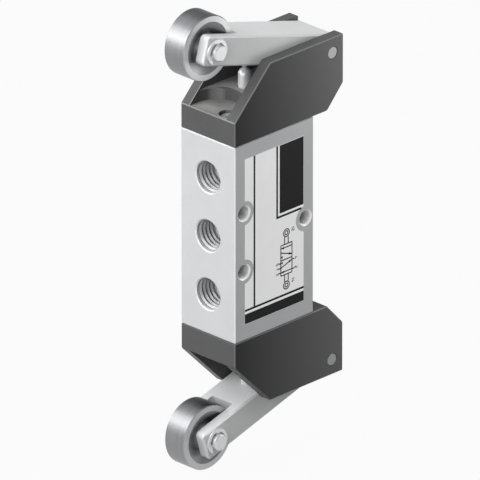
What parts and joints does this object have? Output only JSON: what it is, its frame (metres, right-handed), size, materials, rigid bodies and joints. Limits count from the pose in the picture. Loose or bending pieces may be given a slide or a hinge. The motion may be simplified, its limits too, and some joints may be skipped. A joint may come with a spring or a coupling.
{
  "type": "roller lever air valve",
  "caption": "Slim block spool valve for compressed air, with threaded ports front and rear and a roller lever on a moulded head at each end to shift the spool.",
  "frame": {"origin": "centre of the flat mounting side of the valve body", "axes": "+X out of the mounting side towards the labelled side, +Y from the face with three ports towards the face with two, +Z along the spool towards the top lever"},
  "size_m": [0.022, 0.0587, 0.143],
  "materials": {
    "anodised_body": "fine satin anodised aluminium",
    "moulded_head": "black glass-filled nylon, fine moulded grain",
    "cast_lever": "tumbled die casting",
    "turned_roller": "turned steel with fine lathe marks",
    "bearing_bronze": "sintered bronze",
    "ground_pin": "ground bright steel",
    "spring_clip": "phosphated spring steel",
    "plated_screw": "zinc plated steel",
    "plunger_steel": "hard polished stainless steel",
    "spool_alloy": "ground and hard anodised aluminium",
    "cage_resin": "natural acetal",
    "seal_rubber": "nitrile rubber",
    "bush_alloy": "turned aluminium"
  },
  "bodies": {
    "housing": {"valve_body": "anodised_body", "top_head": "moulded_head", "top_head_screws": "plated_screw", "top_pivot_pin": "ground_pin", "top_end_bush": "bush_alloy", "top_guide_bush": "bearing_bronze", "top_plunger_wiper": "seal_rubber", "bottom_head": "moulded_head", "bottom_head_screws": "plated_screw", "bottom_pivot_pin": "ground_pin", "bottom_end_bush": "bush_alloy", "bottom_guide_bush": "bearing_bronze", "bottom_plunger_wiper": "seal_rubber", "port_cage_1": "cage_resin", "port_cage_2": "cage_resin", "port_cage_3": "cage_resin", "port_cage_4": "cage_resin", "port_cage_5": "cage_resin", "spool_seal_1": "seal_rubber", "spool_seal_2": "seal_rubber", "spool_seal_3": "seal_rubber", "spool_seal_4": "seal_rubber", "spool_seal_5": "seal_rubber", "spool_seal_6": "seal_rubber"},
    "spool": {"spool": "spool_alloy", "top_plunger": "plunger_steel", "bottom_plunger": "plunger_steel"},
    "top_lever": {"top_lever": "cast_lever", "top_roller_axle": "ground_pin", "top_axle_clips": "spring_clip"},
    "top_roller": {"top_roller": "turned_roller", "top_roller_bush": "bearing_bronze"},
    "bottom_lever": {"bottom_lever": "cast_lever", "bottom_roller_axle": "ground_pin", "bottom_axle_clips": "spring_clip"},
    "bottom_roller": {"bottom_roller": "turned_roller", "bottom_roller_bush": "bearing_bronze"}
  },
  "joints": [
    {"name": "top_lever_swing", "type": "hinge", "parent": "housing", "child": "top_lever", "pos_m": [0.011, 0.02405, 0.0487], "axis": [1, 0, 0], "range_deg": [-5.7, 5.7]},
    {"name": "spool_shift", "type": "slide", "parent": "housing", "child": "spool", "axis": [0, 0, 1], "range_m": [-0.0025, 0.0025]},
    {"name": "bottom_lever_swing", "type": "hinge", "parent": "housing", "child": "bottom_lever", "pos_m": [0.011, 0.02405, -0.0487], "axis": [1, 0, 0], "range_deg": [-5.7, 5.7]},
    {"name": "top_roller_spin", "type": "hinge", "parent": "top_lever", "child": "top_roller", "pos_m": [0.011, -0.02012, 0.06153], "axis": [1, 0, 0], "continuous": true},
    {"name": "bottom_roller_spin", "type": "hinge", "parent": "bottom_lever", "child": "bottom_roller", "pos_m": [0.011, -0.02012, -0.06153], "axis": [1, 0, 0], "continuous": true}
  ],
  "couplings": [
    {"joint": "spool_shift", "follows": "top_lever_swing", "m_per_rad": -0.0251},
    {"joint": "bottom_lever_swing", "follows": "top_lever_swing", "ratio": 1}
  ]
}
